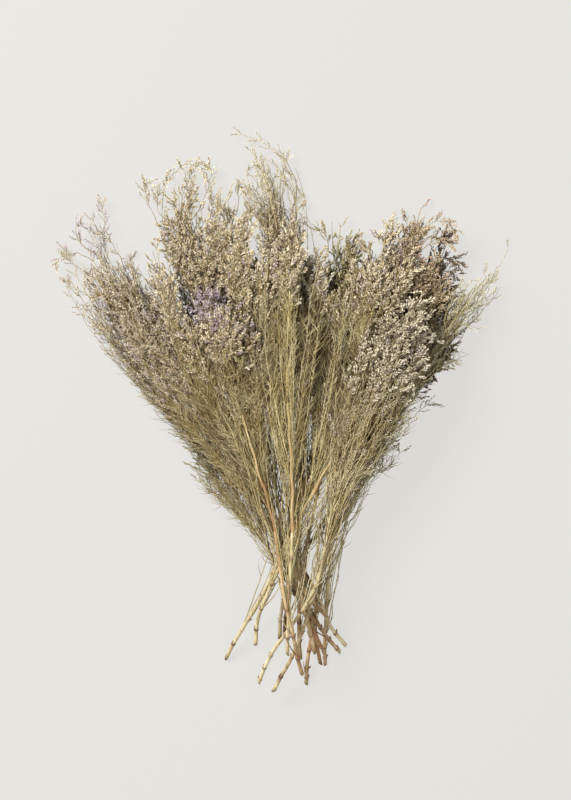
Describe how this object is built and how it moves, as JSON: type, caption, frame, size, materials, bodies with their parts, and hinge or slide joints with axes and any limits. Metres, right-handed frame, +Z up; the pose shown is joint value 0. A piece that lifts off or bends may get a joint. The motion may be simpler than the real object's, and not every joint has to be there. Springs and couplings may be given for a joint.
{
  "type": "dried statice bunch",
  "caption": "Loose bunch of dried statice lying flat: woody cut stems cross at a narrow waist and fan out into sprays of fine twigs with small papery florets.",
  "frame": {"origin": "middle of the bounding box in plan, on the surface that the bunch lies on", "axes": "+Z up from the surface, +Y from the cut ends of the stems towards the flower heads, +X to the right as seen from above with the heads away from the viewer"},
  "size_m": [0.444, 0.5628, 0.0871],
  "materials": {
    "straw_stalk": "dry straw-coloured bark, matt, ribbed along its length, browner at the ring nodes",
    "dried_spray_greygreen": "dry papery florets on thin woody twigs, matt, faded unevenly",
    "dried_spray_brown": "dry papery florets on thin woody twigs, matt, faded unevenly",
    "dried_spray_palegreen": "dry papery florets on thin woody twigs, matt, faded unevenly",
    "dried_spray_creamgreen": "dry papery florets on thin woody twigs, matt, faded unevenly",
    "dried_spray_olive": "dry papery florets on thin woody twigs, matt, faded unevenly",
    "dried_spray_mauve": "dry papery florets on thin woody twigs, matt, faded unevenly",
    "dried_spray_browncream": "dry papery florets on thin woody twigs, matt, faded unevenly",
    "dried_spray_taupe": "dry papery florets on thin woody twigs, matt, faded unevenly",
    "dried_spray_cream": "dry papery florets on thin woody twigs, matt, faded unevenly",
    "dried_spray_olivecream": "dry papery florets on thin woody twigs, matt, faded unevenly",
    "dried_spray_tan": "dry papery florets on thin woody twigs, matt, faded unevenly",
    "dried_spray_lavender": "dry papery florets on thin woody twigs, matt, faded unevenly"
  },
  "bodies": {
    "root": {"stalk_low_right": "straw_stalk", "spray_low_right": "dried_spray_greygreen", "stalk_brown_right": "straw_stalk", "spray_brown_right": "dried_spray_brown", "stalk_far_right": "straw_stalk", "spray_far_right": "dried_spray_palegreen", "stalk_low_left": "straw_stalk", "spray_low_left": "dried_spray_olive", "stalk_far_left": "straw_stalk", "spray_far_left": "dried_spray_mauve", "stalk_left_outer": "straw_stalk", "spray_left_outer": "dried_spray_mauve", "stalk_left_back": "straw_stalk", "spray_left_back": "dried_spray_browncream", "stalk_top": "straw_stalk", "spray_top": "dried_spray_creamgreen", "stalk_left_inner": "straw_stalk", "spray_left_inner": "dried_spray_browncream", "stalk_taupe_right": "straw_stalk", "spray_taupe_right": "dried_spray_taupe", "stalk_right_back": "straw_stalk", "spray_right_back": "dried_spray_tan", "stalk_centre_right": "straw_stalk", "spray_centre_right": "dried_spray_olivecream", "stalk_right_front": "straw_stalk", "spray_right_front": "dried_spray_cream", "stalk_centre_front": "straw_stalk", "spray_centre_front": "dried_spray_cream", "stalk_left_front": "straw_stalk", "spray_left_front": "dried_spray_lavender", "stalk_bare_right": "straw_stalk", "stalk_bare_middle": "straw_stalk", "stalk_bare_left": "straw_stalk"}
  },
  "joints": []
}
